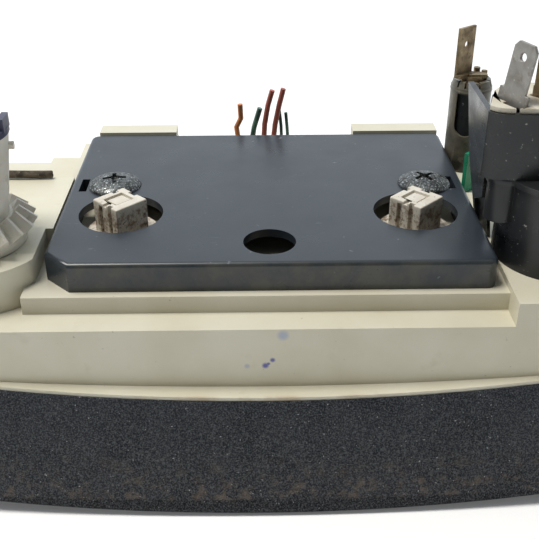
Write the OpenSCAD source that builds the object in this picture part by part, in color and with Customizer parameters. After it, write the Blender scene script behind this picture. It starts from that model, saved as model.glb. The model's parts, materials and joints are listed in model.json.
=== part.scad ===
// Vehicle heater and ventilation control panel, lying on its front face.
// Millimetres. +Z is the rear of the panel, X runs along the panel, and the
// origin is under the middle of the panel, on the surface it lies on.

/* [Rear cover] */
// cover length along X
cover_w = 100; // [80:1:120]
// cover length along Y
cover_d = 77; // [60:1:90]
// height of the cover's top face
cover_top = 55; // [50:0.5:60]
// cover wall thickness
cover_t = 2; // [1.5:0.1:3]
// radius of the two lamp holes
lamp_hole_r = 10.27; // [9:0.01:12]
// lamp hole distance from the middle
lamp_x = 36.1; // [30:0.1:40]
// lamp hole position along Y
lamp_y = -13.2; // [-20:0.1:0]
// radius of the service hole
service_r = 6.1; // [4:0.1:8]

/* [Fascia] */
// half length of the fascia at its rim
fascia_x = 107; // [90:0.5:125]
// half height of the fascia at its rim
fascia_y = 59.7; // [50:0.1:70]
// radius of the bow of both long edges
bow_r = 1000; // [800:50:2000]
// front face curve radius
fascia_r = 900; // [600:10:1500]
// fascia wall
fascia_t = 2.2; // [1.6:0.1:3]

/* [Dials] */
// distance of both dial axes from the middle
dial_x = 68.6; // [60:0.1:72]
// position of both dial axes along Y
dial_y = -24.5; // [-30:0.1:-15]
// knob disc radius
knob_r = 22.4; // [18:0.1:23]
// dial well inner radius
well_r = 23.6; // [20:0.1:25]
// shaft radius in its bearing
shaft_r = 5; // [3:0.1:6]
// bearing clearance on the radius
shaft_gap = 0.06; // [0.02:0.01:0.1]

/* [Bevel gears] */
// number of teeth on each gear
teeth = 20; // [16:1:24]
// pitch radius at the outer ends of the teeth
pitch_r = 13.8; // [12:0.1:18]
// height of the common cone apex
apex_z = 71.7; // [65:0.1:75]
// pitch radius at the inner ends of the dial gear's teeth
dial_inner_r = 10.2; // [10:0.1:13]
// pitch radius at the inner ends of the cable gear's teeth
cable_inner_r = 11.6; // [11:0.1:13]
// radius of the tall hub at its top
hub_r = 11.3; // [8:0.1:12]
// radius of the tall hub at its foot
hub_foot_r = 8.5; // [7:0.1:11]
// top of the tall hub
hub_top = 80.4; // [75:0.1:85]

/* [Buttons] */
// button pitch along X
button_pitch = 16; // [14:0.5:18]
// button position along Y
button_y = -30; // [-34:1:-20]
// button travel
button_travel = 2.4; // [1:0.1:3]

/* [Hidden] */
$fn = 96;
front_z = 0.8;
arc_z = fascia_r + front_z;
slope = 0.285;
wall_top_r = 873.6;
flange_r = 872.7;
plat = 47.9;
ledge = 43.6;
left_top = 53.8;
right_top = 49.5;
right_floor = 49;
bore_r = shaft_r + shaft_gap;
mod = pitch_r * 2 / teeth;
// wire routes: centre points in order
way_orange = [[-9, 33, 21], [-9, 37, 30], [-8.5, 45, 40], [-8, 46.5, 48],
  [-8.8, 46.8, 54], [-7.4, 46.4, 57], [-7.6, 46.3, 61.4]];
way_green = [[-5, 33, 21], [-5, 37, 30], [-4.6, 45, 40], [-4.4, 46.6, 48],
  [-3.4, 46.9, 54], [-1.6, 46.7, 60]];
way_red_a = [[-1, 33, 21], [-1, 37, 30], [-0.8, 45, 40], [-0.6, 46.4, 48],
  [-0.2, 46.7, 55], [0.8, 46.6, 61], [2.1, 46.5, 65.6]];
way_red_b = [[3, 33, 21], [3, 37, 30], [2.4, 45, 40], [2.2, 46.6, 48],
  [3, 46.9, 55], [4.2, 46.8, 61], [5.4, 46.7, 66]];
way_thin_a = [[6, 33, 21], [6, 37, 30], [5.4, 45, 40], [5, 47, 48], [4.8, 47.6, 54],
  [4.3, 48.1, 58.6]];
way_thin_b = [[9, 33, 21], [9, 37, 30], [7.6, 45, 40], [7, 47, 48], [6.6, 47.4, 54],
  [6.2, 47.8, 58.2]];

module box(x0, x1, y0, y1, z0, z1) {
  translate([x0, y0, z0]) cube([x1 - x0, y1 - y0, z1 - z0]);
}
module rod(x, y, z0, z1, r) {
  translate([x, y, z0]) cylinder(r = r, h = z1 - z0);
}
module rodx(x0, x1, y, z, r) {
  translate([x0, y, z]) rotate([0, 90, 0]) cylinder(r = r, h = x1 - x0);
}
// rounded rectangle prism
module slab(hx, hy, r, z0, z1) {
  translate([0, 0, z0]) linear_extrude(height = z1 - z0) union() {
    square([2 * hx - 2 * r, 2 * hy], center = true);
    square([2 * hx, 2 * hy - 2 * r], center = true);
    for (sx = [-1, 1], sy = [-1, 1]) {
      translate([sx * (hx - r), sy * (hy - r)]) circle(r = r);
    }
  }
}
// long cylinder along Y about the fascia's curve centre
module arc_drum(r) {
  translate([0, -80, arc_z]) rotate([-90, 0, 0]) cylinder(r = r, h = 160, $fn = 240);
}
// rounded rectangle whose long edges bow towards each other at the ends
module bow_plan(hx, hy, r, z0, z1) {
  cx = hx - r;
  cy = hy - cx * cx / 2 / bow_r - r;
  right = [for (k = [0:8]) [cx + r * cos(k * 11.25), cy + r * sin(k * 11.25)]];
  side = [for (k = [8:-1:-8]) [k * 10.7, hy - k * k * 57.245 / bow_r]];
  left = [for (k = [8:16]) [-cx + r * cos(k * 11.25), cy + r * sin(k * 11.25)]];
  upper = concat(right, side, left);
  n = len(upper);
  translate([0, 0, z0]) linear_extrude(height = z1 - z0) {
    polygon(concat(upper, [for (k = [0:n - 1]) [-upper[k][0], -upper[k][1]]]));
  }
}
module taper(inset) {
  hull() {
    bow_plan(fascia_x - inset, fascia_y - inset, 14 - inset, front_z, front_z + 0.02);
    bow_plan(fascia_x - inset - 34.2 * slope, fascia_y - inset - 34.2 * slope, 11 - inset,
      front_z + 34.2, front_z + 34.22);
  }
}
module tube_path(pts, r) {
  n = len(pts);
  dirs = [for (i = [0:n - 1]) let (a = pts[max(i - 1, 0)], b = pts[min(i + 1, n - 1)])
    (b - a) / norm(b - a)];
  ring = [for (i = [0:n - 1]) let (d = dirs[i], u0 = cross(d, [1, 0, 0]), u = u0 / norm(u0),
    v = cross(d, u)) for (k = [0:7]) pts[i] + r * (cos(k * 45) * u + sin(k * 45) * v)];
  sides = [for (i = [0:n - 2], k = [0:7]) let (a = i * 8 + k, b = i * 8 + (k + 1) % 8)
    each [[a, a + 8, b], [b, a + 8, b + 8]]];
  caps = [for (k = [1:6]) each [[0, k, k + 1],
    [(n - 1) * 8, (n - 1) * 8 + k + 1, (n - 1) * 8 + k]]];
  polyhedron(points = ring, faces = concat(sides, caps));
}
module screw(x, y, seat, head_r, head_h, shank_r, tip) {
  rod(x, y, tip, seat + 0.1, shank_r);
  difference() {
    translate([x, y, seat]) intersection() {
      cylinder(r = head_r, h = head_h);
      translate([0, 0, head_h - head_r * 1.35]) sphere(r = head_r * 1.35);
    }
    box(x - head_r * 0.42, x + head_r * 0.42, y - head_r * 0.09, y + head_r * 0.09,
      seat + head_h * 0.45, seat + head_h + 1);
    box(x - head_r * 0.09, x + head_r * 0.09, y - head_r * 0.42, y + head_r * 0.42,
      seat + head_h * 0.45, seat + head_h + 1);
  }
}
// one straight bevel tooth, apex at the origin, cone opening towards -Z
module tooth(inner) {
  hw = [0.39, 0.93, 1.66];
  up = [mod, 0, -1.3 * mod - 0.3];
  function p(s, k, sgn) = let (f = s / pitch_r)
    [f * (pitch_r + up[k] * 0.7071), sgn * hw[k] * f, f * (-pitch_r + up[k] * 0.7071)];
  // three levels on two ends
  pts = [for (s = [pitch_r, inner], k = [0:2], sgn = [-1, 1]) p(s, k, sgn)];
  polyhedron(points = pts, faces = [[0, 1, 3, 2], [2, 3, 5, 4], [6, 8, 9, 7], [8, 10, 11, 9],
    [0, 6, 7, 1], [4, 5, 11, 10], [0, 2, 8, 6], [2, 4, 10, 8], [1, 7, 9, 3], [3, 9, 11, 5]]);
}
module tooth_ring(phase, inner) {
  for (i = [0:teeth - 1]) {
    rotate([0, 0, phase + i * 360 / teeth]) tooth(inner);
  }
}
// gear blank under the apex, root cone faces up
module blank(bore, back, inner) {
  rd = 1.25 * mod * 0.7071;
  rotate_extrude() polygon([[bore, -inner - rd * inner / pitch_r],
    [inner - rd * inner / pitch_r, -inner - rd * inner / pitch_r],
    [pitch_r - rd, -pitch_r - rd], [pitch_r - rd - 0.8, back], [bore, back]]);
}

module bezel() {
  color([0.09, 0.09, 0.1]) difference() {
    union() {
      difference() {
        intersection() {
          taper(0);
          arc_drum(fascia_r);
        }
        arc_drum(wall_top_r);
        intersection() {
          translate([0, 0, 0.01]) taper(fascia_t);
          arc_drum(fascia_r - fascia_t);
        }
      }
      intersection() {
        union() {
          for (sx = [-1, 1], sy = [-1, 1]) {
            rod(sx * 94, sy * 41, 3, 34, 3.4);
          }
        }
        arc_drum(fascia_r - 1);
        difference() {
          box(-110, 110, -60, 60, 0, 40);
          arc_drum(wall_top_r);
        }
      }
    }
    for (sx = [-1, 1]) {
      rod(sx * dial_x, dial_y, -1, 20, 25.1);
      for (sy = [-1, 1]) {
        rod(sx * 94, sy * 41, 12, 40, 1.52);
      }
    }
    box(-40.3, 40.3, -44.3, 44.3, -1, 9);
  }
}
module button_windows(grow, z0, z1) {
  for (i = [0:3]) {
    box((i - 1.5) * button_pitch - 7 - grow, (i - 1.5) * button_pitch + 7 + grow,
      button_y - 4.5 - grow, button_y + 4.5 + grow, z0, z1);
  }
}
module front_panel() {
  color([0.05, 0.05, 0.055]) difference() {
    union() {
      difference() {
        slab(40, 44, 3, 0, 5.8);
        box(-36.5, 36.5, -40.5, 40.5, -1, 1.5);
        box(-37.5, 37.5, -41.5, 41.5, 3.5, 7);
      }
      slab(42.4, 46.2, 3, 4.5, 5.8);
      for (sx = [-1, 1], y = [-38.5, 37.5]) {
        rod(sx * 35, y, 3, 18, 2.8);
      }
    }
    difference() {
      box(-37.5, 37.5, -41.5, 41.5, 3.5, 7);
      for (sx = [-1, 1], y = [-38.5, 37.5]) {
        rod(sx * 35, y, 3, 18, 2.8);
      }
    }
    button_windows(0.3, 0, 5);
    box(-32, 32, -12, 32, 0, 3);
    box(-33.5, 33.5, -13.5, 33.5, 2.1, 5);
    for (sx = [-1, 1], y = [-38.5, 37.5]) {
      rod(sx * 35, y, 8, 19, 1.02);
    }
  }
}
module display_lens() {
  color([0.12, 0.13, 0.14, 0.7]) box(-33.4, 33.4, -13.4, 33.4, 2.1, 3.5);
}
module light_guide() {
  color([0.85, 0.9, 0.92, 0.5]) union() {
    box(-33, 33, -13, 33, 3.5, 8);
    rod(-32, -9, 7, 27, 3.6);
    rod(32, -9, 7, 27, 3.6);
    rod(0, 20, 7, 16, 4);
  }
}
module circuit_board() {
  color([0.1, 0.35, 0.2]) difference() {
    box(-40, 40, -42, 41, 18, 19.6);
    rod(-32, -9, 17, 21, 4.2);
    rod(32, -9, 17, 21, 4.2);
    for (sx = [-1, 1], y = [-38.5, 37.5]) {
      rod(sx * 35, y, 17, 21, 1.3);
    }
  }
}
module board_screws() {
  color([0.6, 0.6, 0.62]) for (sx = [-1, 1], y = [-38.5, 37.5]) {
    screw(sx * 35, y, 19.6, 2.4, 1.6, 1, 11);
  }
}
module push_button(i) {
  x = (i - 1.5) * button_pitch;
  color([0.12, 0.12, 0.13]) union() {
    difference() {
      translate([x, button_y, 0]) slab(7, 4.5, 1, 0.8, 9);
      translate([x, button_y, 0]) slab(4.2, 1.7, 0.5, 0.3, 1.1);
    }
    translate([x, button_y, 0]) slab(7.6, 5.6, 1, 3.8, 9);
    rod(x, button_y, 8.9, 15, 1.5);
  }
}
module button_1() {
  push_button(0);
}
module button_2() {
  push_button(1);
}
module button_3() {
  push_button(2);
}
module button_4() {
  push_button(3);
}
module dome(i) {
  color([0.3, 0.3, 0.3]) translate([(i - 1.5) * button_pitch, button_y, 9]) difference() {
    cylinder(r1 = 2.8, r2 = 3.8, h = 9, $fn = 32);
    translate([0, 0, -1]) cylinder(r1 = 1.9, r2 = 3.1, h = 11, $fn = 32);
  }
}
module spring_1() {
  dome(0);
}
module spring_2() {
  dome(1);
}
module spring_3() {
  dome(2);
}
module spring_4() {
  dome(3);
}
module dial_well(sx) {
  color([0.04, 0.04, 0.045]) translate([sx * dial_x, dial_y, 0]) difference() {
    union() {
      intersection() {
        rod(0, 0, 0, 18, 25.1);
        translate([-sx * dial_x, 0, 0]) arc_drum(fascia_r);
      }
      rod(0, 0, 9.2, 11, 26);
    }
    rod(0, 0, -1, 16, well_r);
    rod(0, 0, 10, 20, 6.6);
  }
}
module dial_well_left() {
  dial_well(-1);
}
module dial_well_right() {
  dial_well(1);
}
// turning disc with its sleeve, and the grip bar pressed onto the disc
module knob() {
  difference() {
    union() {
      rod(0, 0, 12.4, 15.4, knob_r);
      rod(0, 0, 15, 22, 6);
    }
    rod(0, 0, 9.3, 23, 4.03);
  }
  difference() {
    intersection() {
      box(-6, 6, -21, 21, 3.6, 12.38);
      rod(0, 0, 3, 14, 21);
    }
    rod(0, 0, 9.3, 23, 4.03);
    box(-1, 1, 8, 19, 3, 4.4);
  }
}
module temp_knob() {
  color([0.06, 0.06, 0.065]) translate([-dial_x, dial_y, 0]) knob();
}
module fan_knob() {
  color([0.06, 0.06, 0.065]) translate([dial_x, dial_y, 0]) knob();
}
module temp_pointer() {
  color([0.85, 0.85, 0.85]) translate([-dial_x, dial_y, 0]) box(-1, 1, 8, 19, 3.3, 4.4);
}
module fan_pointer() {
  color([0.85, 0.85, 0.85]) translate([dial_x, dial_y, 0]) box(-1, 1, 8, 19, 3.3, 4.4);
}
module knob_clip() {
  difference() {
    rod(0, 0, 18.4, 19.2, 8);
    rod(0, 0, 18, 20, 6);
    box(-2.4, 2.4, 0, 10, 18, 20);
  }
}
module temp_clip() {
  color([0.5, 0.5, 0.52]) translate([-dial_x, dial_y, 0]) knob_clip();
}
module fan_clip() {
  color([0.5, 0.5, 0.52]) translate([dial_x, dial_y, 0]) knob_clip();
}
module temp_gear() {
  color([0.88, 0.86, 0.8]) translate([-dial_x, dial_y, 0]) difference() {
    union() {
      translate([0, 0, apex_z]) blank(0, 54.1 - apex_z, dial_inner_r);
      translate([0, 0, apex_z]) tooth_ring(9, dial_inner_r);
      translate([0, 0, 60]) cylinder(r1 = hub_foot_r, r2 = hub_r, h = hub_top - 60);
      rod(0, 0, 55, 60.1, hub_foot_r);
      rod(0, 0, 24, 55, shaft_r);
      rod(0, 0, 9.5, 25, 4);
      translate([0, 0, 77]) rotate([0, 0, 8]) rotate([0, 90, 0]) rod(0, 0, 9, 12, 0.9);
    }
    rod(0, 0, 66, hub_top + 1, 7.6);
  }
}
module hub_ring() {
  color([0.1, 0.12, 0.25]) translate([-dial_x, dial_y, 0]) union() {
    difference() {
      rod(0, 0, hub_top, hub_top + 1.4, 11.5);
      rod(0, 0, hub_top - 1, hub_top + 3, 8.4);
    }
    box(10, 11.4, -2.5, 2.5, hub_top + 1, 84.4);
  }
}
module thrust_washer() {
  color([0.7, 0.7, 0.7]) translate([-dial_x, dial_y, 0]) difference() {
    rod(0, 0, left_top, left_top + 0.25, 9);
    rod(0, 0, 50, 60, 5.6);
  }
}
// mating gear: same teeth turned to face the first gear
module cable_gear() {
  color([0.86, 0.85, 0.8]) translate([-dial_x, dial_y, apex_z]) rotate([0, 90, 0]) difference() {
    union() {
      blank(0, -16.3, cable_inner_r);
      tooth_ring(0, cable_inner_r);
      rod(0, 0, -16.6, -14, 5);
    }
    rod(0, 0, -20, -10, 2);
  }
}
module gear_axle() {
  color([0.7, 0.7, 0.72]) rodx(-92.6, -82, dial_y, apex_z, 2);
}
module crank_arm() {
  color([0.7, 0.7, 0.72]) difference() {
    union() {
      rodx(-91.1, -88.8, dial_y, apex_z, 5);
      rodx(-91.1, -88.8, dial_y, apex_z - 16, 3.6);
      box(-91.1, -88.8, dial_y - 3, dial_y + 3, apex_z - 16, apex_z);
      rodx(-97, -91.1, dial_y, apex_z - 16, 1.6);
    }
    rodx(-95, -80, dial_y, apex_z, 2);
  }
}
module axle_clip() {
  color([0.3, 0.3, 0.32]) difference() {
    rodx(-91.9, -91.1, dial_y, apex_z, 4);
    rodx(-93, -90, dial_y, apex_z, 2);
    box(-93, -90, dial_y - 1, dial_y + 1, apex_z, apex_z + 5);
  }
}
module gear_bracket() {
  color([0.84, 0.82, 0.74]) difference() {
    union() {
      box(-87.9, -85.5, dial_y - 8, dial_y + 8, left_top, apex_z);
      rodx(-87.9, -85.5, dial_y, apex_z, 8);
    }
    rodx(-89, -84, dial_y, apex_z, 2.06);
  }
}
module cable_clamp() {
  color([0.62, 0.62, 0.64]) difference() {
    union() {
      box(-99.5, -88.5, 14.5, 21.5, 51.7, 52.7);
      translate([-94, 14.5, 55.7]) rotate([-90, 0, 0]) cylinder(r = 3.9, h = 7);
    }
    translate([-94, 10, 55.7]) rotate([-90, 0, 0]) cylinder(r = 2.9, h = 15);
    box(-95.4, -92.6, 10, 25, 57.5, 62);
    rod(-90.4, 18, 50, 54, 1.2);
    rod(-97.8, 18, 50, 54, 1.2);
  }
}
module left_raise() {
  intersection() {
    rod(-dial_x, dial_y, 40, left_top, 17.5);
    box(-90, -53.6, -45, dial_y + 2, 40, left_top);
  }
  box(-88, -53.6, dial_y, -18.5, 40, left_top);
  box(-88, -85, dial_y - 9, dial_y + 1, 40, left_top);
  box(-88, -51.8, -18.6, 11.1, 40, left_top);
}
module housing() {
  color([0.84, 0.83, 0.74]) intersection() {
    housing_body();
    arc_drum(wall_top_r);
  }
}
// the fascia's back edge seen from above: bowed sides, rounded corners
module flange_plan(z0, z1) {
  intersection() {
    slab(97.8, 51.9, 11, z0, z1);
    translate([0, -702.1, z0]) cylinder(r = 754, h = z1 - z0, $fn = 240);
    translate([0, 702.1, z0]) cylinder(r = 754, h = z1 - z0, $fn = 240);
  }
}
module housing_body() {
  difference() {
    union() {
      difference() {
        union() {
          box(-66, 66, -47.7, 48.6, 22, ledge);
          box(-20, 20, 40, 49.4, 22, ledge);
          box(-88, 88, -45, 45, 22, ledge);
          box(-55.6, 54.4, -40.7, 49.4, 40, plat);
          box(53.6, 66, -47.7, -28.5, 40, right_top);
          box(53.6, 88, -45, -28.5, 40, right_top);
          box(53.6, 88, -28.6, 39, 40, right_floor);
          box(53.6, 54.8, -28.6, -3.4, 45, right_top);
          box(53.6, 57.5, -3.5, 8.5, 45, right_top);
          left_raise();
        }
        box(-64, 64, -45.7, 46.6, 20, ledge - 2);
        box(-86, 86, -43, 43, 20, ledge - 2);
        box(-53.6, 52.4, -38.7, 46.6, 30, plat - 2);
        box(55.6, 64, -45.7, 37, 30, right_floor - 2);
        box(55.6, 86, -43, 37, 30, right_floor - 2);
        box(-86, -55.4, -22, 9, 30, left_top - 2);
        box(-83, -55.6, -36, -21, 30, left_top - 2);
      }
      difference() {
        flange_plan(20, 45);
        arc_drum(flange_r);
        box(-65, 65, -46.7, 47.6, 19, 50);
        box(-87, 87, -44, 44, 19, 50);
      }
      for (sx = [-1, 1], y = [-41, 41]) {
        rod(sx * 94, y, 30, 34.6, 4.2);
      }
      for (sx = [-1, 1], y = [-28, 28]) {
        rod(sx * 93, y, 30, 34.8, 5);
      }
      for (sx = [-1, 1]) {
        rod(sx * dial_x, dial_y, 30, 48, 8.5);
      }
      rod(-dial_x, dial_y, 30, left_top, 8.5);
      rod(-39.7, 3, 34, cover_top - cover_t, 4.4);
      rod(40.8, 2.6, 34, cover_top - cover_t, 4.4);
      box(-49, -26.4, 39, 45, 46, 55.5);
      box(25.9, 50.8, 39, 45, 46, 55.5);
      box(-100, -87, 14, 22, 49.4, 51.7);
      translate([0, 22, 0]) rotate([90, 0, 0]) linear_extrude(height = 8) {
        polygon([[-87, 40], [-87, 50], [-96, 50]]);
      }
    }
    for (sx = [-1, 1]) {
      rod(sx * dial_x, dial_y, 20, 60, bore_r);
      rod(sx * lamp_x, lamp_y, 40, 50, 6.9);
      translate([sx * lamp_x, lamp_y, 0]) rotate([0, 0, 90]) box(-9, 9, -2.2, 2.2, 44, 50);
      for (sy = [-1, 1]) {
        rod(sx * 94, sy * 41, 20, 40, 1.7);
        rod(sx * 93, sy * 28, 20, 40, 2.25);
      }
    }
    rod(-39.7, 3, 36, 60, 1.62);
    rod(40.8, 2.6, 36, 60, 1.62);
    rod(0, -28.4, 40, 50, 5);
    rod(56.8, 28, 40, 50, 4.6);
    box(-10.6, 10, 44.6, 47.8, 40, 50);
    box(-47, -28.4, 40.8, 46, 47.9, 53.5);
    box(27.9, 48.8, 40.8, 46, 47.9, 53.5);
    rod(-90.4, 18, 45, 60, 1);
    rod(-97.8, 18, 45, 60, 1);
  }
}
module housing_screws() {
  color([0.6, 0.6, 0.62]) for (sx = [-1, 1], sy = [-1, 1]) {
    screw(sx * 94, sy * 41, 34.6, 3.6, 2, 1.5, 14);
  }
}
module cover_plan(inset, z0, z1) {
  a = cover_w / 2 + 1.2 - inset;
  b = cover_d / 2 - inset;
  translate([0, 0, z0]) linear_extrude(height = z1 - z0) polygon([[-a + 7.2, -b], [a - 1.5, -b],
    [a, -b + 1.5], [a, b - 1], [a - 1, b], [-a + 1, b], [-a, b - 1], [-a, -b + 6.5]]);
}
// outside or inside of the cover: sides lean in, top edges broken
module cover_form(inset, foot) {
  a = cover_w / 2 - inset;
  b = cover_d / 2 - inset;
  t = cover_top - inset;
  intersection() {
    cover_plan(inset, foot, t);
    translate([0, 60, 0]) rotate([90, 0, 0]) linear_extrude(height = 120) polygon([
      [-a - 1.2, plat], [-a - 1.4, foot - 1], [a + 1.4, foot - 1], [a + 1.2, plat],
      [a + 0.15, t - 1.3], [a - 1.3, t], [1.3 - a, t], [-a - 0.15, t - 1.3]]);
    translate([-60, 0, 0]) rotate([90, 0, 90]) linear_extrude(height = 120) polygon([
      [-b, foot - 1], [b, foot - 1], [b, t - 1.3], [b - 1.3, t], [1.3 - b, t], [-b, t - 1.3]]);
  }
}
module rear_cover() {
  color([0.3, 0.32, 0.35]) difference() {
    cover_form(0, plat);
    cover_form(cover_t, plat - 2);
    for (sx = [-1, 1]) {
      rod(sx * lamp_x, lamp_y, 50, 60, lamp_hole_r);
      box(sx * 47.7 - 1, sx * 47.7 + 1, -0.5, 7, 46, 60);
    }
    rod(0, -28.4, 50, 60, service_r);
    rod(-39.7, 3, 50, 60, 2.1);
    rod(40.8, 2.6, 50, 60, 2.1);
  }
}
module cover_screws() {
  color([0.4, 0.4, 0.4]) union() {
    screw(-39.7, 3, cover_top, 6.8, 2.5, 1.6, 38);
    screw(40.8, 2.6, cover_top, 6.8, 2.5, 1.6, 38);
  }
}
module foam_strip() {
  color([0.2, 0.18, 0.16]) union() {
    box(-76, -57.6, 9.4, 11.8, left_top, left_top + 2.3);
    rod(-57.6, 10.6, left_top, left_top + 2.3, 1.2);
  }
}
module lamp_holder() {
  difference() {
    union() {
      rod(0, 0, plat + 0.2, 50.6, 9);
      rod(0, 0, 44.2, 49, 6.4);
      rotate([0, 0, 45]) box(-4.65, 4.65, -4.65, 4.65, 50, 58.6);
      rotate([0, 0, 45]) box(-8.4, 8.4, -1.9, 1.9, 43.4, 45.5);
    }
    rotate([0, 0, 45]) translate([0, 0, 57.8]) box(-3.2, 3.2, -3.2, 3.2, 0, 2);
    rotate([0, 0, 45]) box(-4.9, -4.2, -2.4, -1.2, 51.5, 60);
    rotate([0, 0, 45]) box(-4.9, -4.2, 1.2, 2.4, 51.5, 60);
    rod(0, 0, 40, 50, 2.6);
  }
}
module lamp_holder_left() {
  color([0.87, 0.86, 0.8]) translate([-lamp_x, lamp_y, 0]) lamp_holder();
}
module lamp_holder_right() {
  color([0.87, 0.86, 0.8]) translate([lamp_x, lamp_y, 0]) lamp_holder();
}
module bulb(top, r) {
  union() {
    rod(0, 0, top - 10, top, r);
    translate([0, 0, top - 10]) sphere(r = r);
  }
}
module lamp_bulb_left() {
  color([0.9, 0.9, 0.85, 0.5]) translate([-lamp_x, lamp_y, 0]) bulb(50, 2.5);
}
module lamp_bulb_right() {
  color([0.9, 0.9, 0.85, 0.5]) translate([lamp_x, lamp_y, 0]) bulb(50, 2.5);
}
module fan_rotor() {
  color([0.85, 0.83, 0.76]) translate([dial_x, dial_y, 0]) difference() {
    union() {
      rod(0, 0, 9.5, 25, 4);
      rod(0, 0, 24, 65.5, shaft_r);
      rod(0, 0, 55.5, 58.5, 11.2);
    }
    for (i = [0:4]) {
      rotate([0, 0, 90 - i * 30]) rod(12.1, 0, 54, 60, 1.5);
    }
  }
}
module fan_wiper() {
  color([0.8, 0.6, 0.3]) translate([dial_x, dial_y, 0]) difference() {
    union() {
      rod(0, 0, 58.5, 59.1, 8);
      box(6, 10.4, -1.5, 1.5, 58.5, 59.1);
      box(9.8, 10.4, -1.5, 1.5, 58.5, 65.6);
    }
    rod(0, 0, 55, 62, 5);
  }
}
module switch_body() {
  color([0.05, 0.05, 0.05]) translate([dial_x, dial_y, 0]) difference() {
    union() {
      rod(0, 0, 49.5, 71, 15.5);
      rod(0, 0, 69.7, 71, 16.3);
      rod(-16.2, -3, 60.5, 71, 3.5);
      rod(-16.2, -3, 69.7, 71, 3.9);
      box(-16.2, -12, -4.6, -1.4, 60.5, 71);
    }
    rod(0, 0, 52, 66.6, 13.7);
    rod(0, 0, 66, 68.4, 14.2);
    rod(0, 0, 48, 75, 5.6);
    box(12, 14.9, -1.6, 1.6, 55, 60);
  }
}
module contact_plate() {
  color([0.75, 0.6, 0.3]) translate([dial_x, dial_y, 0]) difference() {
    rod(0, 0, 66.6, 68.2, 14);
    rod(0, 0, 60, 75, 6);
  }
}
module detent_ball() {
  color([0.7, 0.7, 0.72]) translate([dial_x + 13.3, dial_y, 57]) sphere(r = 1.5, $fn = 32);
}
// outline of the terminal box: slanted left end, bulged front
box_edge = [[46.8, -28.5], [48.2, -30], [50.4, -30.9], [56, -31.4], [64, -31.3], [74, -30.6],
  [89, -29.2], [89, -13], [60, -12.6], [56, -12.6], [53, -13.8], [50, -18]];
module terminal_box() {
  color([0.05, 0.05, 0.05]) union() {
    difference() {
      translate([0, 0, 71]) linear_extrude(height = 15.1) polygon(box_edge);
      translate([0, 0, 73]) linear_extrude(height = 20) {
        polygon([for (p = box_edge) [68 + (p[0] - 68) * 0.93, -21.8 + (p[1] + 21.8) * 0.84]]);
      }
    }
    // thin fin leaning out on its way down, and its set-back leg
    intersection() {
      translate([40, 0, 0]) rotate([90, 0, 90]) linear_extrude(height = 20) polygon([
        [-28.6, 71.05], [-28.6, 86.1], [-8.5, 86.1], [-6.4, 60], [-6.4, right_top],
        [-8.6, right_top], [-8.6, 56], [-18.5, 61], [-24.1, 70], [-24.1, 71.05]]);
      fin_lean(0, 1.3);
    }
    intersection() {
      translate([40, 0, 0]) rotate([90, 0, 90]) linear_extrude(height = 20) polygon([
        [-7, right_top], [-7, 72.5], [-23, 72.5], [-20.5, 61], [-17, right_top]]);
      fin_lean(0.8, 1.6);
    }
  }
}
module fin_lean(near, far) {
  rotate([90, 0, 0]) linear_extrude(height = 60) polygon([[46.7 + near, 86.2], [49 + near, 69],
    [51.4 + near, 56.6], [52.8 + near, 49], [52.8 + far, 49], [51.4 + far, 56.6], [49 + far, 69],
    [46.7 + far, 86.2]]);
}
module terminal_board() {
  color([0.82, 0.78, 0.66]) difference() {
    translate([0, 0, 86.1]) linear_extrude(height = 1.2) polygon([[47.2, -27.8], [48.5, -29.3],
      [50.6, -30.1], [56, -30.6], [64, -30.5], [74, -29.8], [88.4, -28.5], [88.4, -13.6], [60, -13.2],
      [56.1, -13.1], [53.3, -14.2], [50.3, -18.3]]);
    translate([52.2, -25.8, 0]) rotate([0, 0, -60]) box(-4.5, 4.5, -0.9, 0.9, 80, 90);
    translate([52.2, -25.8, 0]) rotate([0, 0, -60]) box(-0.5, 4.2, -2.2, 0, 80, 90);
    for (i = [0:2]) {
      translate([60.2 + i * 9.5, -24.2, 0]) rotate([0, 0, -48]) box(-4, 4, -0.6, 0.6, 80, 90);
    }
  }
}
module blade(top, wide, foot) {
  difference() {
    union() {
      box(-2, 2, -0.4, 0.4, 80, 87);
      box(-foot, foot, -0.4, 0.4, 86.6, 89.6);
      translate([0, 0.4, 0]) rotate([90, 0, 0]) linear_extrude(height = 0.8) {
        polygon([[-wide, 89], [wide, 89], [wide, top - 1.2], [wide - 1, top], [1 - wide, top],
          [-wide, top - 1.2]]);
      }
    }
    translate([0, 2, top - 3]) rotate([90, 0, 0]) cylinder(r = 0.9, h = 4);
  }
}
module blade_tinned() {
  color([0.75, 0.75, 0.76]) translate([52.2, -25.8, 86]) rotate([0, 7.5, 0]) rotate([0, 0, -60]) {
    translate([0, 0, -86]) blade(100, 3.15, 4.2);
  }
}
module blades_brass() {
  color([0.8, 0.62, 0.3]) for (i = [0:2]) {
    translate([60.2 + i * 9.5, -24.2, 0]) rotate([0, 0, -48]) blade(98.4, 3.15, 3.35);
  }
}
module socket_sleeve() {
  color([0.05, 0.05, 0.05]) translate([56.8, 28, 0]) difference() {
    union() {
      rod(0, 0, right_floor, 75, 5.6);
      rod(0, 0, 73.4, 74.6, 5.8);
    }
    rod(0, 0, 45, 80, 4.7);
    box(-7, -2, -2.2, 2.2, 56, 68);
    for (k = [0:3]) {
      rotate([0, 0, 45 + k * 90]) box(3, 7, -0.8, 0.8, 71, 76);
    }
  }
}
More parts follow.
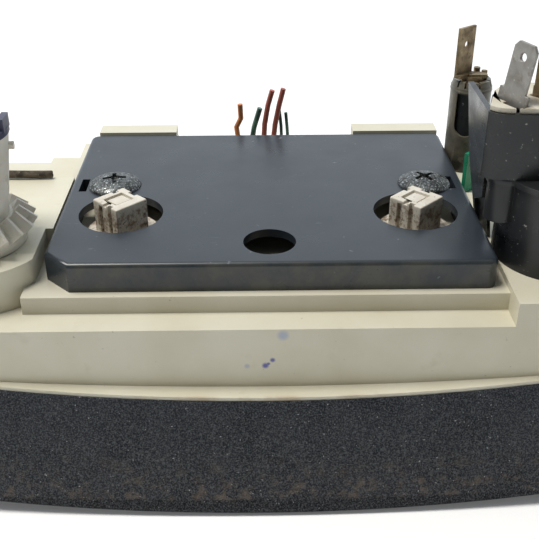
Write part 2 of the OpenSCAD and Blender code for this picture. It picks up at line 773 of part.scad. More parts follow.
module socket_terminal() {
  color([0.8, 0.62, 0.3]) translate([56.8, 28, 0]) union() {
    rod(0, 0, 70, 74.4, 4.6);
    rod(0, 0, 74.3, 76, 3);
    rod(1.6, 2.4, 75, 77.3, 0.9);
    rod(3.4, 1, 74, 76.8, 0.8);
    box(-1.5, 3.6, -2.2, 0.6, 75.6, 76.6);
    translate([-2.9, -0.5, 0]) rotate([0, 0, 38]) difference() {
      union() {
        box(-3.15, 3.15, -0.4, 0.4, 75.8, 89.2);
        box(-3.15, 3.15, -1.8, 0.4, 75.8, 76.7);
      }
      translate([0, 2, 84.6]) rotate([90, 0, 0]) cylinder(r = 0.9, h = 4);
    }
  }
}
module socket_bulb() {
  color([0.9, 0.9, 0.85, 0.5]) translate([56.8, 28, 0]) bulb(70, 3.4);
}
module green_filter() {
  color([0.25, 0.6, 0.3, 0.7]) translate([55, 11, 0]) rotate([0, 0, 40]) {
    box(-2.8, 2.8, -0.6, 0.6, right_floor, 60.5);
  }
}
module wire_orange() {
  color([0.85, 0.4, 0.15]) tube_path(way_orange, 0.8);
}
module wire_green() {
  color([0.3, 0.5, 0.3]) tube_path(way_green, 0.8);
}
module wire_red_a() {
  color([0.7, 0.15, 0.15]) tube_path(way_red_a, 0.8);
}
module wire_red_b() {
  color([0.7, 0.15, 0.15]) tube_path(way_red_b, 0.8);
}
module wire_thin_a() {
  color([0.3, 0.5, 0.3]) tube_path(way_thin_a, 0.5);
}
module wire_thin_b() {
  color([0.3, 0.5, 0.3]) tube_path(way_thin_b, 0.5);
}

bezel();
front_panel();
display_lens();
light_guide();
circuit_board();
board_screws();
button_1();
button_2();
button_3();
button_4();
spring_1();
spring_2();
spring_3();
spring_4();
dial_well_left();
dial_well_right();
temp_knob();
temp_pointer();
temp_clip();
temp_gear();
hub_ring();
thrust_washer();
cable_gear();
gear_axle();
crank_arm();
axle_clip();
gear_bracket();
cable_clamp();
housing();
housing_screws();
rear_cover();
cover_screws();
foam_strip();
lamp_holder_left();
lamp_holder_right();
lamp_bulb_left();
lamp_bulb_right();
fan_knob();
fan_pointer();
fan_clip();
fan_rotor();
fan_wiper();
switch_body();
contact_plate();
detent_ball();
terminal_box();
terminal_board();
blade_tinned();
blades_brass();
socket_sleeve();
socket_terminal();
socket_bulb();
green_filter();
wire_orange();
wire_green();
wire_red_a();
wire_red_b();
wire_thin_a();
wire_thin_b();
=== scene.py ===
import bpy
import json
import math
from mathutils import Matrix, Vector


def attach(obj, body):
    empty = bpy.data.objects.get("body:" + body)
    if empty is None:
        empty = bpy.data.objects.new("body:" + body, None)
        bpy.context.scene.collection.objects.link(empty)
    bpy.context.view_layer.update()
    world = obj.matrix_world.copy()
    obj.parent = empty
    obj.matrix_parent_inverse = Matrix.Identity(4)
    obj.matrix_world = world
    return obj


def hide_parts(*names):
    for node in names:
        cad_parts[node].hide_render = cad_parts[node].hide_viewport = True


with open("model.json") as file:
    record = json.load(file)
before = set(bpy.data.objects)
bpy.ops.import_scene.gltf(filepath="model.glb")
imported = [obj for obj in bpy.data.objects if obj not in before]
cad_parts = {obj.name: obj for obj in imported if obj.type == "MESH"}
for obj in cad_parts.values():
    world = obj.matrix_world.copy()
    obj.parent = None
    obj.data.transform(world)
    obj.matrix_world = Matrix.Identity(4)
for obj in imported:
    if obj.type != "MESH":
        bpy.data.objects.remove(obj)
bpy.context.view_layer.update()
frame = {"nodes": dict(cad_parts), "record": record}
nodes = frame["nodes"]
mm = 0.001


def pickNothing():
    bpy.ops.object.select_all(action="DESELECT")


def pick(piece):
    pickNothing()
    piece.select_set(True)
    bpy.context.view_layer.objects.active = piece


def settle(piece):
    pick(piece)
    bpy.ops.object.transform_apply(location=True, rotation=True, scale=True)
    return piece


def addBlock(x0, x1, y0, y1, z0, z1):
    pickNothing()
    middle = ((x0 + x1) * mm / 2, (y0 + y1) * mm / 2, (z0 + z1) * mm / 2)
    bpy.ops.mesh.primitive_cube_add(size=1, location=middle)
    piece = bpy.context.active_object
    piece.scale = ((x1 - x0) * mm, (y1 - y0) * mm, (z1 - z0) * mm)
    return settle(piece)


def addRound(x, y, z0, z1, radius, sides=64, topRadius=None):
    pickNothing()
    top = radius if topRadius is None else topRadius
    bpy.ops.mesh.primitive_cone_add(vertices=sides, radius1=radius * mm, radius2=top * mm,
                                    depth=(z1 - z0) * mm,
                                    location=(x * mm, y * mm, (z0 + z1) * mm / 2))
    return settle(bpy.context.active_object)


def useModifier(piece, kind, **values):
    pick(piece)
    modifier = piece.modifiers.new("step", kind)
    for key, value in values.items():
        setattr(modifier, key, value)
    bpy.ops.object.modifier_apply(modifier=modifier.name)


def cutOut(piece, tool, way="DIFFERENCE"):
    useModifier(piece, "BOOLEAN", operation=way, object=tool, solver="EXACT")
    bpy.data.objects.remove(tool)


def roundOff(piece, width, steps=2, angle=35):
    useModifier(piece, "BEVEL", width=width * mm, segments=steps, limit_method="ANGLE",
                angle_limit=math.radians(angle), use_clamp_overlap=True, harden_normals=False)


def bevelEdges(piece, test, width, steps):
    # the test gets both ends of an edge in millimetres
    pick(piece)
    for edge in piece.data.edges:
        a, b = (piece.data.vertices[i].co / mm for i in edge.vertices)
        edge.select = bool(test(a, b))
    for face in piece.data.polygons:
        face.select = False
    chosen = [edge.index for edge in piece.data.edges if edge.select]
    for vertex in piece.data.vertices:
        vertex.select = False
    for index in chosen:
        for vertex in piece.data.edges[index].vertices:
            piece.data.vertices[vertex].select = True
    bpy.ops.object.mode_set(mode="EDIT")
    bpy.ops.mesh.select_mode(type="EDGE")
    bpy.ops.mesh.bevel(offset=width * mm, segments=steps, affect="EDGES")
    bpy.ops.object.mode_set(mode="OBJECT")


def joinAll(pieces):
    pickNothing()
    for piece in pieces:
        piece.select_set(True)
    bpy.context.view_layer.objects.active = pieces[0]
    bpy.ops.object.join()
    return bpy.context.active_object


def smooth(piece, angle=35):
    pick(piece)
    bpy.ops.object.shade_smooth_by_angle(angle=math.radians(angle))


def place(piece, name, stands, body, finish, angle=35):
    smooth(piece, angle)
    useModifier(piece, "WEIGHTED_NORMAL", keep_sharp=True)  # flat faces stay flat beside their eased edges
    piece.name = name
    piece.data.name = name
    piece.data.materials.clear()
    piece.data.materials.append(finish)
    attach(piece, body)
    if stands:
        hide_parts(*stands)
    return piece


def easedCopy(node, name, body, finish, width, steps=2, angle=35, flat=0.4):
    # merged copy of a moulded part with its edges eased
    piece = nodes[node].copy()
    piece.data = nodes[node].data.copy()
    bpy.context.scene.collection.objects.link(piece)
    piece.parent = None
    for key in list(piece.keys()):
        if key.startswith("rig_"):
            del piece[key]
    pick(piece)
    bpy.ops.object.mode_set(mode="EDIT")
    bpy.ops.mesh.select_all(action="SELECT")
    bpy.ops.mesh.remove_doubles(threshold=0.000004)
    bpy.ops.mesh.dissolve_limited(angle_limit=math.radians(flat))
    bpy.ops.object.mode_set(mode="OBJECT")
    if width > 0:
        roundOff(piece, width, steps, angle)
    return place(piece, name, [node], body, finish, angle)


def makeFinish(name, look):
    # mottle is second colour, scale, low, high; dirt and specks are tint, scale, low, high, top;
    # scratches add a stretch; zones are axis, low and high in mm, tint, scale, low, high, top;
    # ink and shade spots are x, y, z and size in mm, tint, for ink marks and painted shade inside holes;
    # bumps are scale, strength, depth in mm
    finish = bpy.data.materials.new(name)
    finish.use_nodes = True
    tree = finish.node_tree
    shader = tree.nodes["Principled BSDF"]
    for socket, value in look.get("sockets", {}).items():
        shader.inputs[socket].default_value = value
    where = tree.nodes.new("ShaderNodeTexCoord").outputs["Object"]

    def noise(scale, detail=4, rough=0.55, stretch=None):
        source = where
        if stretch:
            mapping = tree.nodes.new("ShaderNodeMapping")
            mapping.inputs["Scale"].default_value = stretch
            tree.links.new(where, mapping.inputs["Vector"])
            source = mapping.outputs["Vector"]
        texture = tree.nodes.new("ShaderNodeTexNoise")
        texture.inputs["Scale"].default_value = scale
        texture.inputs["Detail"].default_value = detail
        texture.inputs["Roughness"].default_value = rough
        tree.links.new(source, texture.inputs["Vector"])
        return texture.outputs["Fac"]

    def spread(value, low, high, top=1.0, bottom=0.0):
        node = tree.nodes.new("ShaderNodeMapRange")
        node.inputs["From Min"].default_value = low
        node.inputs["From Max"].default_value = high
        node.inputs["To Min"].default_value = bottom
        node.inputs["To Max"].default_value = top
        tree.links.new(value, node.inputs["Value"])
        return node.outputs["Result"]

    def times(a, b):
        node = tree.nodes.new("ShaderNodeMath")
        node.operation = "MULTIPLY"
        tree.links.new(a, node.inputs[0])
        tree.links.new(b, node.inputs[1])
        return node.outputs[0]

    def blendIn(under, over, amount):
        node = tree.nodes.new("ShaderNodeMix")
        node.data_type = "RGBA"
        for source, socket in ((under, node.inputs[6]), (over, node.inputs[7])):
            if isinstance(source, tuple):
                socket.default_value = (*source, 1)
            else:
                tree.links.new(source, socket)
        tree.links.new(amount, node.inputs[0])
        return node.outputs[2]

    color = look["color"]
    if "mottle" in look:
        second, scale, low, high = look["mottle"]
        color = blendIn(color, second, spread(noise(scale), low, high))
    rough = look["rough"]
    spans = look.get("zones", [])
    axes = None
    if spans or look.get("inkAndShadeSpots"):
        axes = tree.nodes.new("ShaderNodeSeparateXYZ")
        tree.links.new(where, axes.inputs[0])
    for axis, low, high, tint, scale, a, b, top in spans:
        # a tint that comes in along one axis, broken up by noise
        amount = spread(axes.outputs[axis], low * mm, high * mm)
        color = blendIn(color, tint, times(amount, spread(noise(scale, 6, 0.65), a, b, top)))
    for tint, scale, low, high, top in look.get("dirt", []):
        color = blendIn(color, tint, spread(noise(scale, 6, 0.6), low, high, top))
    for tint, scale, low, high, top in look.get("specks", []):
        color = blendIn(color, tint, spread(noise(scale, 2, 0.5), low, high, top))
    for tint, scale, stretch, low, high, top in look.get("scratches", []):
        color = blendIn(color, tint, spread(noise(scale, 3, 0.5, stretch), low, high, top))
    # ink marks, and dark spots of painted shade inside holes, each fading out around a point
    for x, y, z, size, tint in look.get("inkAndShadeSpots", []):
        node = tree.nodes.new("ShaderNodeVectorMath")
        node.operation = "DISTANCE"
        tree.links.new(where, node.inputs[0])
        node.inputs[1].default_value = (x * mm, y * mm, z * mm)
        color = blendIn(color, tint, spread(node.outputs["Value"], size * mm, size * mm * 0.4, 0.85))
    if isinstance(color, tuple):
        shader.inputs["Base Color"].default_value = (*color, 1)
    else:
        tree.links.new(color, shader.inputs["Base Color"])
    scale, change = look.get("roughChange", (160, 0.08))
    sheen = spread(noise(scale), 0.3, 0.7, min(1, rough + change), max(0, rough - change))
    tree.links.new(sheen, shader.inputs["Roughness"])
    height = None
    for scale, strength, depth in look.get("bumps", []):
        bump = tree.nodes.new("ShaderNodeBump")
        bump.inputs["Strength"].default_value = strength
        bump.inputs["Distance"].default_value = depth * mm
        tree.links.new(noise(scale, 3, 0.6), bump.inputs["Height"])
        if height:
            tree.links.new(height, bump.inputs["Normal"])
        height = bump.outputs["Normal"]
    if height:
        tree.links.new(height, shader.inputs["Normal"])
    return finish


dust = (0.42, 0.4, 0.36)
shade = (0.03, 0.022, 0.015)
lampHole = dict(x=36.1, y=-13.2, radius=10.27)
serviceHole = dict(x=0, y=-28.4, radius=6.1)
screwSpots = [dict(x=-39.7, y=3, turn=8), dict(x=40.8, y=2.6, turn=33)]
looks = {
    "cream_plastic": dict(
        color=(0.66, 0.63, 0.51), mottle=((0.6, 0.56, 0.43), 55, 0.35, 0.7), rough=0.45,
        dirt=[((0.45, 0.38, 0.25), 130, 0.62, 0.8, 0.35)],
        specks=[((0.2, 0.17, 0.12), 700, 0.74, 0.8, 0.5)],
        zones=[(1, -51, -52.2, (0.4, 0.26, 0.14), 110, 0.42, 0.62, 0.8)],
        inkAndShadeSpots=[
            # the first three spots are painted shade inside the two lamp holes and the service hole; the
            # rest are ink marks on the front wall
            (-lampHole["x"], -6.5, 48, 10.5, shade), (lampHole["x"], -6.5, 48, 10.5, shade),
            (0, -26.2, 47, 5.5, shade), (0.3, -47.7, 35.4, 0.75, (0.02, 0.03, 0.3)),
            (-1.3, -47.7, 33.9, 0.95, (0.02, 0.03, 0.32)), (-0.6, -47.7, 34.4, 0.5, (0.05, 0.06, 0.35)),
            (2.6, -47.7, 42, 1.6, (0.38, 0.42, 0.52)), (-5.4, -47.7, 33.8, 0.8, (0.42, 0.45, 0.5)),
        ],
        bumps=[(900, 0.06, 0.05), (45, 0.05, 0.3)],
    ),
    "cover_black": dict(
        color=(0.02, 0.027, 0.035), mottle=((0.028, 0.036, 0.045), 40, 0.35, 0.7), rough=0.31,
        specks=[((0.2, 0.22, 0.24), 620, 0.72, 0.76, 0.4), (dust, 380, 0.76, 0.8, 0.35)],
        scratches=[((0.14, 0.16, 0.18), 190, (1, 5, 1), 0.72, 0.78, 0.4)],
        zones=[(1, -37.5, -38.6, (0.09, 0.085, 0.06), 150, 0.35, 0.6, 0.6)], roughChange=(90, 0.05),
        bumps=[(1500, 0.05, 0.03), (25, 0.03, 0.2)], sockets={"Specular IOR Level": 0.44},
    ),
    "black_grained": dict(
        color=(0.008, 0.01, 0.014), mottle=((0.02, 0.022, 0.027), 90, 0.35, 0.65), rough=0.62,
        specks=[
            ((0.16, 0.168, 0.18), 3000, 0.42, 0.72, 0.55), ((0.5, 0.5, 0.5), 1500, 0.71, 0.76, 0.7),
        ],
        zones=[
            (2, 27, 17, (0.17, 0.17, 0.17), 1300, 0.52, 0.7, 0.5),
            (2, 15, 7, (0.15, 0.115, 0.08), 330, 0.5, 0.66, 0.65),
            (2, 11, 6, (0.34, 0.27, 0.2), 760, 0.64, 0.72, 0.7),
            # the near-black band below 4.4 mm is painted shade along the bottom rim
            (2, 4.4, 3.7, (0.006, 0.007, 0.009), 50, 0.05, 0.2, 0.95),
        ],
        bumps=[(2400, 0.5, 0.1), (900, 0.25, 0.1)], sockets={"Specular IOR Level": 0.14},
    ),
    "black_gloss": dict(
        color=(0.02, 0.02, 0.022), mottle=((0.032, 0.032, 0.034), 70, 0.4, 0.7), rough=0.3,
        specks=[(dust, 600, 0.73, 0.78, 0.4)], bumps=[(1200, 0.06, 0.03)],
    ),
    "switch_black": dict(
        color=(0.01, 0.0115, 0.014), mottle=((0.02, 0.021, 0.022), 60, 0.35, 0.65), rough=0.3,
        dirt=[((0.16, 0.14, 0.1), 130, 0.62, 0.8, 0.4)],
        specks=[((0.5, 0.49, 0.45), 1100, 0.7, 0.76, 0.6)], roughChange=(110, 0.12),
        bumps=[(600, 0.08, 0.06)], sockets={"Specular IOR Level": 0.4},
    ),
    "sleeve_black": dict(
        color=(0.17, 0.155, 0.115), mottle=((0.07, 0.064, 0.048), 130, 0.4, 0.65), rough=0.34,
        dirt=[((0.36, 0.32, 0.25), 300, 0.62, 0.76, 0.6)],
        # the darkening below 55 mm is painted shade at the sleeve's foot
        zones=[(2, 55, 52, (0.015, 0.015, 0.012), 90, 0.2, 0.5, 0.85)],
        scratches=[((0.36, 0.34, 0.28), 300, (1, 1, 0.1), 0.6, 0.72, 0.6)], bumps=[(420, 0.35, 0.15)],
    ),
    "gear_nylon": dict(
        color=(0.74, 0.72, 0.64), mottle=((0.64, 0.6, 0.5), 110, 0.35, 0.7), rough=0.45,
        dirt=[((0.3, 0.23, 0.14), 260, 0.58, 0.74, 0.6)],
        specks=[((0.1, 0.08, 0.06), 800, 0.74, 0.8, 0.5)], bumps=[(350, 0.12, 0.1)],
        sockets={"Subsurface Weight": 0.08, "Subsurface Scale": 0.002},
    ),
    "lamp_cream": dict(
        color=(0.66, 0.62, 0.54), mottle=((0.54, 0.49, 0.4), 240, 0.35, 0.7), rough=0.5,
        zones=[
            # these two zones darken the sides below the top towards brown: painted shade on the holder's
            # sides
            (2, 58.3, 57.2, (0.2, 0.12, 0.065), 620, 0.47, 0.6, 0.8),
            (2, 58.2, 55, (0.07, 0.04, 0.02), 1100, 0.54, 0.64, 0.8),
        ],
        specks=[((0.06, 0.035, 0.02), 1500, 0.68, 0.74, 0.7)], bumps=[(600, 0.18, 0.12)],
    ),
    "dark_zinc": dict(
        color=(0.14, 0.15, 0.15), mottle=((0.05, 0.052, 0.05), 520, 0.35, 0.6), rough=0.4,
        roughChange=(700, 0.2), specks=[((0.55, 0.58, 0.58), 1900, 0.58, 0.68, 0.8)],
        dirt=[((0.02, 0.02, 0.018), 1100, 0.52, 0.6, 0.85)],
        bumps=[(1500, 0.8, 0.16), (600, 0.4, 0.16)], sockets={"Metallic": 0.7},
    ),
    "steel": dict(
        color=(0.5, 0.5, 0.5), mottle=((0.38, 0.38, 0.37), 200, 0.35, 0.7), rough=0.35,
        bumps=[(800, 0.1, 0.04)], dirt=[((0.2, 0.16, 0.1), 180, 0.62, 0.8, 0.4)],
        sockets={"Metallic": 1.0},
    ),
    "tinned": dict(
        color=(0.36, 0.345, 0.32), mottle=((0.25, 0.235, 0.21), 300, 0.35, 0.65), rough=0.45,
        roughChange=(300, 0.12), dirt=[((0.12, 0.09, 0.06), 420, 0.58, 0.72, 0.65)],
        specks=[((0.6, 0.59, 0.56), 1400, 0.66, 0.74, 0.5)], bumps=[(900, 0.3, 0.06)],
        sockets={"Metallic": 0.6},
    ),
    "brass": dict(
        color=(0.33, 0.25, 0.14), mottle=((0.2, 0.145, 0.08), 300, 0.35, 0.65), rough=0.5,
        roughChange=(300, 0.14), dirt=[((0.08, 0.05, 0.03), 520, 0.56, 0.7, 0.75)],
        specks=[((0.5, 0.42, 0.3), 1300, 0.66, 0.74, 0.5)], bumps=[(900, 0.35, 0.08)],
        sockets={"Metallic": 0.6},
    ),
    "board_cream": dict(
        color=(0.62, 0.58, 0.48), mottle=((0.45, 0.4, 0.3), 180, 0.35, 0.7), rough=0.6,
        dirt=[((0.2, 0.13, 0.08), 300, 0.55, 0.72, 0.6)], bumps=[(500, 0.2, 0.1)],
    ),
    "navy_plastic": dict(
        color=(0.03, 0.035, 0.075), mottle=((0.06, 0.06, 0.1), 200, 0.4, 0.7), rough=0.45,
        bumps=[(500, 0.2, 0.08)],
    ),
    "green_film": dict(
        color=(0.02, 0.3, 0.16), mottle=((0.05, 0.42, 0.24), 150, 0.35, 0.7), rough=0.25,
        bumps=[(300, 0.1, 0.1)], sockets={"Transmission Weight": 0.35, "IOR": 1.45},
    ),
    "foam": dict(
        color=(0.035, 0.028, 0.02), mottle=((0.12, 0.095, 0.07), 500, 0.4, 0.65), rough=0.9,
        specks=[((0.35, 0.3, 0.22), 900, 0.66, 0.74, 0.6)], bumps=[(900, 0.9, 0.4)],
    ),
    "wire_orange": dict(
        color=(0.6, 0.22, 0.07), mottle=((0.42, 0.14, 0.05), 350, 0.35, 0.7), rough=0.42,
        dirt=[((0.2, 0.16, 0.06), 420, 0.58, 0.72, 0.7)], bumps=[(500, 0.25, 0.1)],
    ),
    "wire_red": dict(
        color=(0.42, 0.11, 0.08), mottle=((0.3, 0.09, 0.06), 350, 0.35, 0.7), rough=0.42,
        dirt=[((0.14, 0.07, 0.05), 420, 0.58, 0.72, 0.6)], bumps=[(500, 0.25, 0.1)],
    ),
    "wire_green": dict(
        color=(0.1, 0.21, 0.15), mottle=((0.03, 0.07, 0.06), 350, 0.35, 0.65), rough=0.42,
        bumps=[(500, 0.25, 0.1)],
    ),
    "smoked_lens": dict(color=(0.02, 0.022, 0.026), rough=0.12, sockets={"Transmission Weight": 0.3}),
    "clear_guide": dict(
        color=(0.8, 0.85, 0.88), rough=0.12, sockets={"Transmission Weight": 0.9, "IOR": 1.49},
    ),
    "bulb_glass": dict(
        color=(0.92, 0.92, 0.9), rough=0.06, sockets={"Transmission Weight": 0.95, "IOR": 1.5},
    ),
    "board": dict(
        color=(0.02, 0.1, 0.045), mottle=((0.03, 0.15, 0.06), 300, 0.45, 0.55), rough=0.35,
        bumps=[(400, 0.1, 0.05)],
    ),
    "dome_rubber": dict(color=(0.03, 0.03, 0.032), rough=0.7, bumps=[(600, 0.1, 0.05)]),
    "white_mark": dict(color=(0.75, 0.75, 0.73), rough=0.5, bumps=[(600, 0.05, 0.03)]),
}
finishes = {name: makeFinish(name + "_finish", look) for name, look in looks.items()}
slotOf = {row["node"]: row["material_slot"] for row in frame["record"]["subparts"]}
bodies = frame["record"]["behaviour"]["bodies"]
bodyOf = {node: body for body, members in bodies.items() for node in members}
for node, piece in nodes.items():
    piece.data.materials.clear()
    piece.data.materials.append(finishes[slotOf[node]])
print("finishes made")

eased = {
    "bezel": 0.7, "housing": 0.3, "front_panel": 0.3, "dial_well_left": 0.3, "dial_well_right": 0.3,
    "temp_knob": 0.5, "fan_knob": 0.5, "button_1": 0.35, "button_2": 0.35, "button_3": 0.35,
    "button_4": 0.35, "temp_gear": 0.16, "cable_gear": 0.16, "gear_bracket": 0.3, "crank_arm": 0.2,
    "cable_clamp": 0.15, "switch_body": 0.6, "terminal_box": 0.4, "terminal_board": 0.2,
    "blade_tinned": 0.12, "blades_brass": 0.12, "socket_terminal": 0.12, "green_filter": 0.1,
    "hub_ring": 0.2, "housing_screws": 0.12,
}
for node, width in eased.items():
    steps = 3 if width > 0.25 else 2
    easedCopy(node, node + "_skin", bodyOf[node], finishes[slotOf[node]], width, steps)
print("eased parts made")

cover = dict(halfX=50, halfY=38.5, top=55, bottom=47.9, wall=2, corner=6, smallCorner=2.3,
             crown=1.15, flare=1.022, screwHole=2.1, slotX=47.7)
cutLow = 50
cutHigh = 60
lid = addBlock(-cover["halfX"], cover["halfX"], -cover["halfY"], cover["halfY"],
               cover["bottom"], cover["top"])
pick(lid)
for face in lid.data.polygons:
    face.select = face.center.z < (cover["bottom"] + 0.6) * mm
bpy.ops.object.mode_set(mode="EDIT")
bpy.ops.mesh.select_mode(type="FACE")
# sides lean in towards the top
bpy.ops.transform.resize(value=(cover["flare"], 1, 1), center_override=(0, 0, 0))
bpy.ops.object.mode_set(mode="OBJECT")


def uprightAt(sideX, sideY):
    return lambda a, b: (abs(a.z - b.z) > 3 and a.x * sideX > 40 and a.y * sideY > 30
                         and b.x * sideX > 40)


bevelEdges(lid, uprightAt(-1, -1), cover["corner"], 1)
bevelEdges(lid, uprightAt(1, -1), cover["smallCorner"], 5)
bevelEdges(lid, lambda a, b: abs(a.z - b.z) > 3 and a.y > 38 and abs(a.x) > 49,
           cover["smallCorner"], 5)
bevelEdges(lid, lambda a, b: min(a.z, b.z) > cover["top"] - 0.1, cover["crown"], 6)
innerX = cover["halfX"] - cover["wall"]
innerY = cover["halfY"] - cover["wall"]
hollow = addBlock(-innerX, innerX, -innerY, innerY, 40, cover["top"] - cover["wall"])
bevelEdges(hollow, uprightAt(-1, -1), cover["corner"] - 1, 1)
cutOut(lid, hollow)
for side in (-1, 1):
    cutOut(lid, addRound(side * lampHole["x"], lampHole["y"], cutLow, cutHigh, lampHole["radius"], 96))
    slotX = side * cover["slotX"]
    cutOut(lid, addBlock(slotX - 1, slotX + 1, -0.5, 7, 44, cutHigh))
cutOut(lid, addRound(serviceHole["x"], serviceHole["y"], cutLow, cutHigh, serviceHole["radius"], 96))
for spot in screwSpots:
    cutOut(lid, addRound(spot["x"], spot["y"], cutLow, cutHigh, cover["screwHole"], 32))
place(lid, "cover_lid", ["rear_cover"], "panel", finishes["cover_black"], 30)
print("cover made")

screw = dict(radius=6.8, height=2.4, seat=55, slitLength=6, slitWidth=1.1, slitFloor=56.1, shank=1.55)


def addScrew(x, y, turn):
    pickNothing()
    bpy.ops.mesh.primitive_uv_sphere_add(segments=64, ring_count=32, radius=screw["radius"] * mm,
                                         location=(x * mm, y * mm, screw["seat"] * mm))
    head = bpy.context.active_object
    head.scale = (1, 1, screw["height"] / screw["radius"])
    settle(head)
    cutOut(head, addBlock(x - 9, x + 9, y - 9, y + 9, 50, screw["seat"] + 0.01))
    halfLength = screw["slitLength"] / 2
    halfWidth = screw["slitWidth"] / 2
    for quarter in (0, 90):
        slit = addBlock(-halfLength, halfLength, -halfWidth, halfWidth, screw["slitFloor"], 59)
        slit.rotation_euler = (0, 0, math.radians(quarter + turn))
        slit.location = (x * mm, y * mm, 0)
        cutOut(head, settle(slit))
    cutOut(head, addRound(x, y, 55.8, 59, 0.7, 24, 1.7))
    roundOff(head, 0.12, 2, 40)
    shank = addRound(x, y, 40, screw["seat"] + 0.1, screw["shank"], 24)
    return joinAll([head, shank])


screwPair = joinAll([addScrew(spot["x"], spot["y"], spot["turn"]) for spot in screwSpots])
place(screwPair, "cover_screw_pair", ["cover_screws"], "panel", finishes["dark_zinc"], 40)
print("screws made")

holder = dict(side=9.3, low=50.4, high=58.9, disc=9, neck=6.4)


def addHolder(x, y, name, body, node):
    half = holder["side"] / 2
    block = addBlock(-half, half, -half, half, holder["low"], holder["high"])
    roundOff(block, 0.35, 3)
    # two side grooves, a square recess with an island, and three notches in the rim
    cutOut(block, addBlock(-half - 1, -half + 0.9, 1.0, 2.3, 49, 58))
    cutOut(block, addBlock(-half - 1, -half + 0.9, -2.5, -1.2, 49, 60))
    cutOut(block, addBlock(-2.8, 2.6, -2.2, 2.6, 58.1, 60))
    island = addBlock(-2.2, 2.0, -1.6, 2.0, 57.8, 58.6)
    roundOff(island, 0.15, 2)
    cutOut(block, addBlock(0.9, 2.6, half - 1.1, half + 1, 57.9, 60))
    cutOut(block, addBlock(half - 1, half + 1, -1.0, 1.4, 57.9, 60))
    cutOut(block, addBlock(-half - 1, -half + 1.6, -0.6, 0.5, 58.2, 60))
    roundOff(block, 0.14, 2, 40)
    disc = addRound(0, 0, 48.1, 50.6, holder["disc"], 72)
    roundOff(disc, 0.4, 3)
    ears = addBlock(-8.4, 8.4, -1.9, 1.9, 43.4, 45.5)
    roundOff(ears, 0.3, 2)
    neck = addRound(0, 0, 44.2, 49, holder["neck"], 48)
    whole = joinAll([block, island, disc, ears, neck])
    whole.rotation_euler = (0, 0, math.radians(45))
    whole.location = (x * mm, y * mm, 0)
    settle(whole)
    return place(whole, name, [node], body, finishes["lamp_cream"], 40)


addHolder(-lampHole["x"], lampHole["y"], "holder_left", "lamp_left", "lamp_holder_left")
addHolder(lampHole["x"], lampHole["y"], "holder_right", "lamp_right", "lamp_holder_right")
print("lamp holders made")

socket = dict(x=56.8, y=28, low=49.05, rim=73.2, radius=5.6, bore=4.7, windowHalf=3.1)


def addSleeve():
    # a crimped tube with a window at the front and a slit lip on top
    tube = addRound(socket["x"], socket["y"], socket["low"], socket["rim"], socket["radius"], 64)
    half = socket["windowHalf"]
    window = addRound(0, 0, -6, 6, half, 40)
    window.rotation_euler = (math.pi / 2, 0, 0)
    settle(window)
    cutOut(window, addBlock(-4, 4, -9, 9, 0, 4))
    window = joinAll([window, addBlock(-half, half, -6, 6, 0, 9)])
    useModifier(window, "REMESH", mode="VOXEL", voxel_size=0.25 * mm)
    window.rotation_euler = (0, 0, math.radians(-24))
    window.location = ((socket["x"] - 2.0) * mm, (socket["y"] - 5.4) * mm, 62.8 * mm)
    cutOut(tube, settle(window))
    cutOut(tube, addRound(socket["x"], socket["y"], 48, 75, socket["bore"], 64))
    roundOff(tube, 0.22, 3, 40)
    lip = addRound(socket["x"], socket["y"], 72.2, 75, 5.75, 64, 5.0)
    cutOut(lip, addRound(socket["x"], socket["y"], 74.3, 77, 3.9, 32))
    for turn in (10, 58, 96, 171, 214, 239, 282, 331):
        notch = addBlock(3.4, 7, -0.3, 0.3, 73.3, 77)
        notch.rotation_euler = (0, 0, math.radians(turn))
        notch.location = (socket["x"] * mm, socket["y"] * mm, 0)
        cutOut(lip, settle(notch))
    roundOff(lip, 0.2, 2, 40)
    return joinAll([tube, lip])


place(addSleeve(), "socket_sleeve_crimped", ["socket_sleeve"], "panel",
      finishes["sleeve_black"], 40)
core = addRound(socket["x"], socket["y"], 50, 73, 4.65, 64)
roundOff(core, 0.3, 2)
place(core, "socket_core", [], "panel", finishes["switch_black"], 40)

strip = dict(start=-76, end=-57.2, y=10.6, z=55, radius=1.15)
pickNothing()
stripMiddle = ((strip["start"] + strip["end"]) * mm / 2, strip["y"] * mm, strip["z"] * mm)
bpy.ops.mesh.primitive_cylinder_add(vertices=20, radius=strip["radius"] * mm,
                                    depth=(strip["end"] - strip["start"]) * mm,
                                    location=stripMiddle, rotation=(0, math.pi / 2, 0))
strand = settle(bpy.context.active_object)
roundOff(strand, 0.6, 3, 40)
pick(strand)
bpy.ops.object.mode_set(mode="EDIT")
bpy.ops.mesh.select_all(action="SELECT")
bpy.ops.mesh.subdivide(number_cuts=5)
bpy.ops.object.mode_set(mode="OBJECT")
cloud = bpy.data.textures.new("worn", "CLOUDS")
cloud.noise_scale = 0.0016
useModifier(strand, "DISPLACE", texture=cloud, strength=0.0006, mid_level=0.75, texture_coords="GLOBAL")
place(strand, "foam_strand", ["foam_strip"], "panel", finishes["foam"], 60)

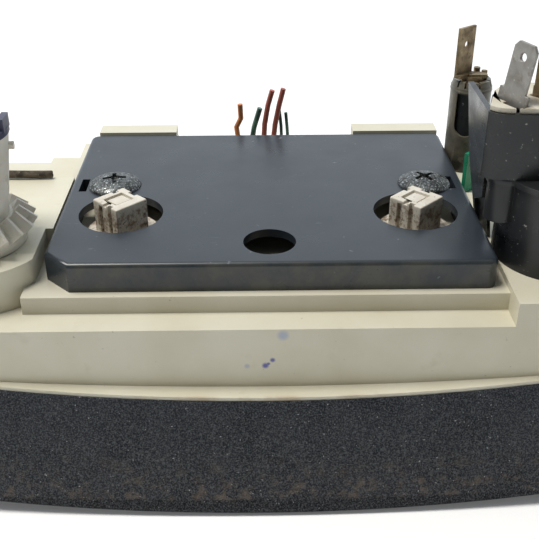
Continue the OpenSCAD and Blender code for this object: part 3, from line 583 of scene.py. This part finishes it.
wires = {
    "wire_orange": dict(
        slot="wire_orange", radius=0.8,
        way=[
            (-9, 33, 21), (-9, 37, 30), (-8.5, 45, 40), (-8, 46.5, 48), (-8.8, 46.8, 54),
            (-7.4, 46.4, 57), (-7.6, 46.3, 61.4),
        ],
    ),
    "wire_green": dict(
        slot="wire_green", radius=0.8,
        way=[
            (-5, 33, 21), (-5, 37, 30), (-4.6, 45, 40), (-4.4, 46.6, 48), (-3.4, 46.9, 54),
            (-1.6, 46.7, 60),
        ],
    ),
    "wire_red_a": dict(
        slot="wire_red", radius=0.8,
        way=[
            (-1, 33, 21), (-1, 37, 30), (-0.8, 45, 40), (-0.6, 46.4, 48), (-0.2, 46.7, 55),
            (0.8, 46.6, 61), (2.1, 46.5, 65.6),
        ],
    ),
    "wire_red_b": dict(
        slot="wire_red", radius=0.8,
        way=[
            (3, 33, 21), (3, 37, 30), (2.4, 45, 40), (2.2, 46.6, 48), (3, 46.9, 55), (4.2, 46.8, 61),
            (5.4, 46.7, 66),
        ],
    ),
    "wire_thin_a": dict(
        slot="wire_green", radius=0.5,
        way=[(6, 33, 21), (6, 37, 30), (5.4, 45, 40), (5, 47, 48), (4.8, 47.6, 54), (4.3, 48.1, 58.6)],
    ),
    "wire_thin_b": dict(
        slot="wire_green", radius=0.5,
        way=[(9, 33, 21), (9, 37, 30), (7.6, 45, 40), (7, 47, 48), (6.6, 47.4, 54), (6.2, 47.8, 58.2)],
    ),
}
for node, wire in wires.items():
    # the route stays a chosen list of points, as in the CAD
    line = bpy.data.curves.new(node + "_line", "CURVE")
    line.dimensions = "3D"
    spline = line.splines.new("POLY")
    spline.points.add(len(wire["way"]) - 1)
    for point, spot in zip(spline.points, wire["way"]):
        point.co = (*(v * mm for v in spot), 1)
    line.bevel_depth = wire["radius"] * mm
    line.bevel_resolution = 4
    line.use_fill_caps = True
    lead = bpy.data.objects.new(node + "_lead", line)
    bpy.context.scene.collection.objects.link(lead)
    lead.data.materials.append(finishes[wire["slot"]])
    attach(lead, "panel")
    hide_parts(node)
print("wires made")

pickNothing()
bpy.ops.mesh.primitive_plane_add(size=8, location=(0, 0, -0.0002))
floor = bpy.context.active_object
floor.name = "floor"
pale = bpy.data.materials.new("pale_floor")
pale.use_nodes = True
paleShader = pale.node_tree.nodes["Principled BSDF"]
paleShader.inputs["Base Color"].default_value = (0.93, 0.93, 0.93, 1)
paleShader.inputs["Roughness"].default_value = 0.9
paleShader.inputs["Emission Color"].default_value = (1, 1, 1, 1)
paleShader.inputs["Emission Strength"].default_value = 0.1
floor.data.materials.append(pale)

lights = dict(keyPlace=(-0.42, -0.03, 1.15), keySize=0.5, keyPower=13, skyFront=0.04, skyBack=1.15)
world = bpy.data.worlds.new("studio")
bpy.context.scene.world = world
world.use_nodes = True
sky = world.node_tree
along = sky.nodes.new("ShaderNodeSeparateXYZ")
facing = sky.nodes.new("ShaderNodeTexCoord")
sky.links.new(facing.outputs["Generated"], along.inputs[0])
level = sky.nodes.new("ShaderNodeMapRange")
level.inputs["From Min"].default_value = -0.6
level.inputs["From Max"].default_value = 0.8
level.inputs["To Min"].default_value = lights["skyFront"]
level.inputs["To Max"].default_value = lights["skyBack"]
sky.links.new(along.outputs["Y"], level.inputs["Value"])
sky.links.new(level.outputs["Result"], sky.nodes["Background"].inputs["Strength"])
sky.nodes["Background"].inputs["Color"].default_value = (0.86, 0.93, 1.0, 1)


def addSoftbox(name, spot, size, power, aim, tint):
    lamp = bpy.data.lights.new(name, "AREA")
    lamp.shape = "DISK"
    lamp.size = size
    lamp.energy = power
    lamp.color = tint
    box = bpy.data.objects.new(name, lamp)
    bpy.context.scene.collection.objects.link(box)
    box.location = spot
    box.rotation_euler = (Vector(aim) - Vector(spot)).to_track_quat("-Z", "Y").to_euler()


addSoftbox("key", lights["keyPlace"], lights["keySize"], lights["keyPower"], (0, 0, 0.05), (1, 0.97, 0.92))

shot = dict(place=(-0.00294, -0.20704, 0.15166), lens=58.85, pitch=30.24, yaw=0.93, roll=-0.10)
lens = bpy.data.cameras.new("camera")
lens.lens = shot["lens"]
lens.sensor_width = 36
lens.clip_start = 0.005
eye = bpy.data.objects.new("camera", lens)
bpy.context.scene.collection.objects.link(eye)
eye.matrix_world = (Matrix.Translation(shot["place"])
                    @ Matrix.Rotation(math.radians(-shot["yaw"]), 4, "Z")
                    @ Matrix.Rotation(math.radians(90 - shot["pitch"]), 4, "X")
                    @ Matrix.Rotation(math.radians(shot["roll"]), 4, "Z"))
bpy.context.scene.camera = eye
bpy.context.scene.view_settings.view_transform = "Standard"
print("studio made")
